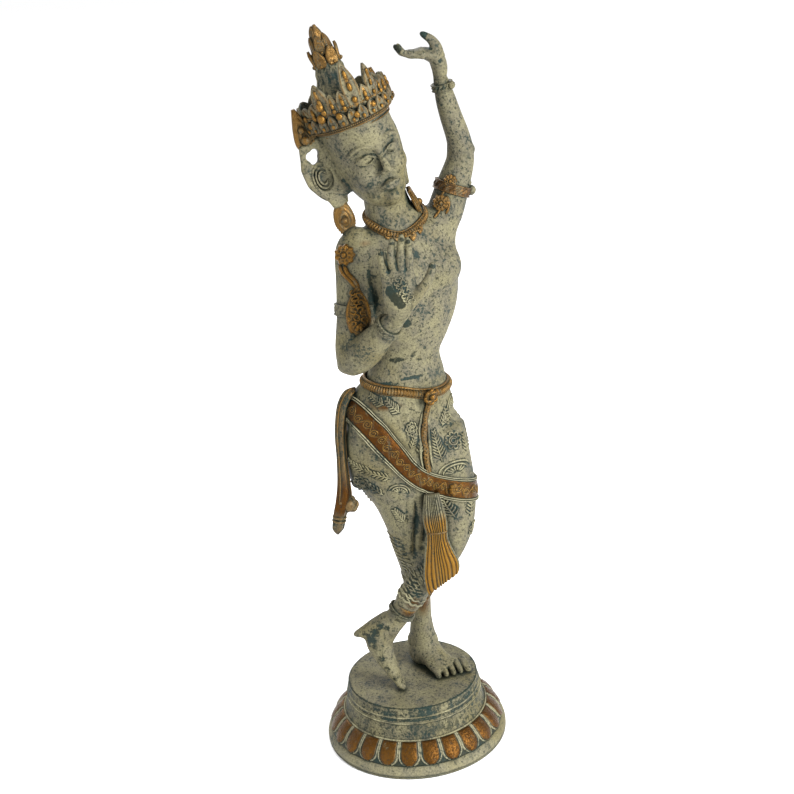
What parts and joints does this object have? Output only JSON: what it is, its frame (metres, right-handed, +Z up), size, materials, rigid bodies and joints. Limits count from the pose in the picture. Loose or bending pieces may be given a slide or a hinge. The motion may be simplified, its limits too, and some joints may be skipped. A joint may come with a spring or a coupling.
{
  "type": "dancing deity statue",
  "caption": "Standing dancing figure in cast brass with a tall crown, one arm raised and legs crossed, on a round lotus base.",
  "frame": {"origin": "middle of the base's underside, on the surface it stands on", "axes": "+Z up through the base and along the figure's height; -Y is the front, towards which the base is seen in the picture; +X is the side of the raised left arm"},
  "size_m": [0.0852, 0.0822, 0.3209],
  "materials": {
    "patina_brass": "cast brass under a rubbed chalky whitewash with dark green patina in the hollows",
    "dark_brass": "cast brass with a dark green and brown patina",
    "gilt_brass": "cast brass, rubbed back to gold on the high points",
    "steel": "plain fasteners, out of sight"
  },
  "bodies": {
    "root": {"lotus_skirt": "patina_brass", "lotus_petals": "gilt_brass", "plinth_drum": "patina_brass", "platform_disc": "patina_brass", "right_stud_washer": "steel", "left_stud_washer": "steel", "right_stud_nut": "steel", "left_stud_nut": "steel", "right_foot": "patina_brass", "left_foot": "patina_brass", "right_leg": "patina_brass", "left_leg": "patina_brass", "hip_drape": "patina_brass", "torso": "patina_brass", "right_arm": "patina_brass", "left_arm": "patina_brass", "right_hand": "patina_brass", "left_hand": "patina_brass", "head": "patina_brass", "crown": "gilt_brass", "topknot": "dark_brass", "topknot_finial": "gilt_brass", "right_crown_side_leaf": "gilt_brass", "left_crown_side_leaf": "gilt_brass", "right_earring": "gilt_brass", "left_earring": "gilt_brass", "necklace": "gilt_brass", "right_shoulder_rosette": "gilt_brass", "left_shoulder_rosette": "gilt_brass", "right_armlet": "gilt_brass", "left_armlet": "gilt_brass", "right_bracelet": "patina_brass", "left_bracelet": "patina_brass", "belt": "gilt_brass", "belt_buckle": "gilt_brass", "belt_cord": "gilt_brass", "hip_sash": "gilt_brass", "sash_tail": "gilt_brass", "pleated_fan": "gilt_brass", "right_anklet": "gilt_brass", "left_anklet": "gilt_brass"}
  },
  "joints": []
}
